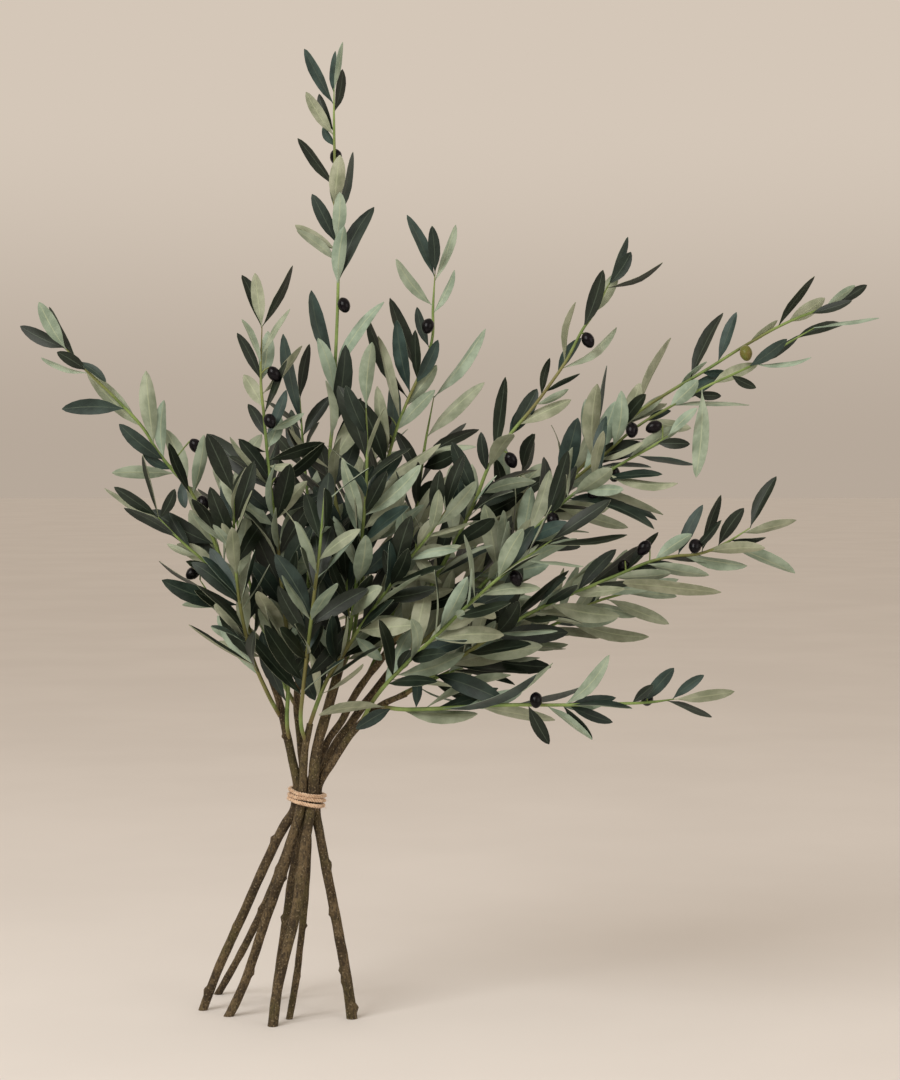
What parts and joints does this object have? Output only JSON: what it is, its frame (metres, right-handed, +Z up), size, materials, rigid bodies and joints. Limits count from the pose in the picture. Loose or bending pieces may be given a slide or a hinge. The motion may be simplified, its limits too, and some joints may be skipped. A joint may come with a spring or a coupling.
{
  "type": "olive branch bunch",
  "caption": "Bunch of olive branches with leaves and dark fruit, bound with twine near the splayed cut stems, which stand on a flat surface.",
  "frame": {"origin": "on the surface that the cut ends stand on, under the middle of the bunch's bounding box", "axes": "+Z up, +X to the right and +Y away from a viewer who faces the bunch's widest side"},
  "size_m": [0.8412, 0.2886, 0.9732],
  "materials": {
    "bark": "rough, moulded bark",
    "twine": "rough, twisted fibre",
    "spray": "satin"
  },
  "bodies": {
    "root": {"stem_left": "bark", "stem_rear_left": "bark", "stem_front_left": "bark", "stem_front": "bark", "stem_centre": "bark", "stem_rear": "bark", "stem_right": "bark", "twine_tie": "twine", "spray_far_left": "spray", "spray_left_upright": "spray", "spray_left_front": "spray", "spray_left_back": "spray", "spray_back_tall": "spray", "spray_back_centre": "spray", "spray_front_low": "spray", "spray_front_leaning": "spray", "spray_tallest": "spray", "spray_top_centre": "spray", "spray_mid_upright": "spray", "spray_right_upright": "spray", "spray_right_inner": "spray", "spray_far_right": "spray", "spray_right_middle": "spray", "spray_right_back": "spray", "spray_right_front": "spray", "spray_right_low": "spray", "spray_right_lower": "spray", "spray_lowest": "spray"}
  },
  "joints": []
}
